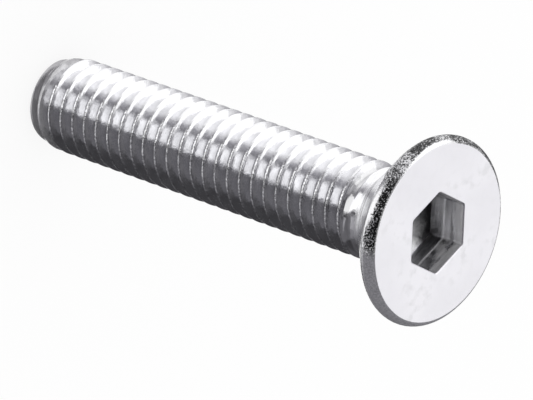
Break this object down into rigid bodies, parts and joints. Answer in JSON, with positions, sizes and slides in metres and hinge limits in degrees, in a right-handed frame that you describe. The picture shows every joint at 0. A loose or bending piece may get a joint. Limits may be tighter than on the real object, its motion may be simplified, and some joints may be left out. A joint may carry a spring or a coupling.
{
  "type": "leveling screw",
  "caption": "Short countersunk screw with a hexagon socket in its flat head, a plain neck and a right-hand machine thread down to a rounded end; turned with a key to raise, lower or clamp.",
  "frame": {"origin": "middle of the flat end, on the screw's axis, which is what it stands on", "axes": "+Z along the axis from the flat end to the head's face; X and Y across the axis, with +X where the thread's groove leaves the neck"},
  "size_m": [0.0058, 0.0058, 0.0157],
  "materials": {
    "steel": "bright metal, shiny on the thread, satin and faintly marked on the head's face"
  },
  "bodies": {
    "root": {"screw": "steel"}
  },
  "joints": []
}
